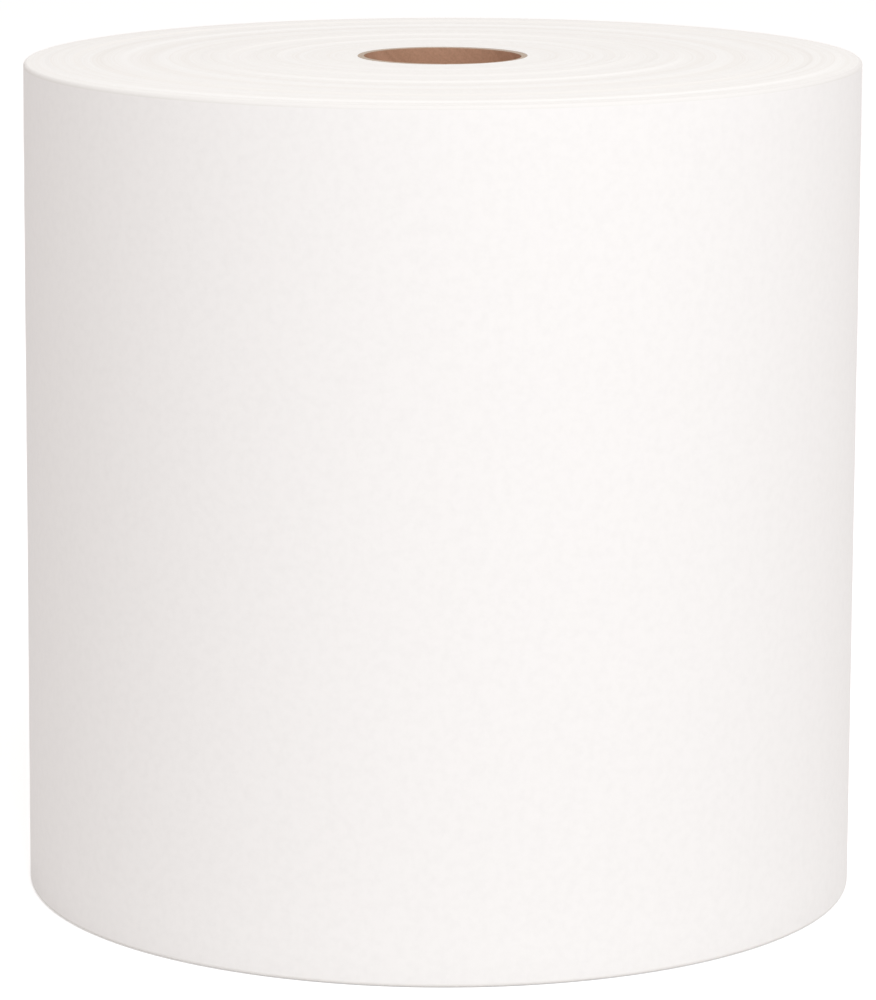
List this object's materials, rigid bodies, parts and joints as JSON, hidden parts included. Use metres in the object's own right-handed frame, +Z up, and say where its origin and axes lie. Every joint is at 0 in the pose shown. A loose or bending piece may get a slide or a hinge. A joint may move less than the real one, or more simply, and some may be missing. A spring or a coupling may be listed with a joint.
{
  "type": "paper towel roll",
  "caption": "White paper towel wound hard into a drum as tall as it is wide, on a brown paperboard core that runs through from end to end.",
  "frame": {"origin": "centre of the bottom end face, on the core's axis, where the roll stands", "axes": "+Z up along the core's axis, -Y towards the viewer of the picture, +X to the viewer's right"},
  "size_m": [0.2027, 0.2029, 0.2035],
  "materials": {
    "towel_paper": "matt, soft and creped",
    "core_board": "matt kraft board"
  },
  "bodies": {
    "root": {"wound_towel": "towel_paper", "core_tube": "core_board"}
  },
  "joints": []
}
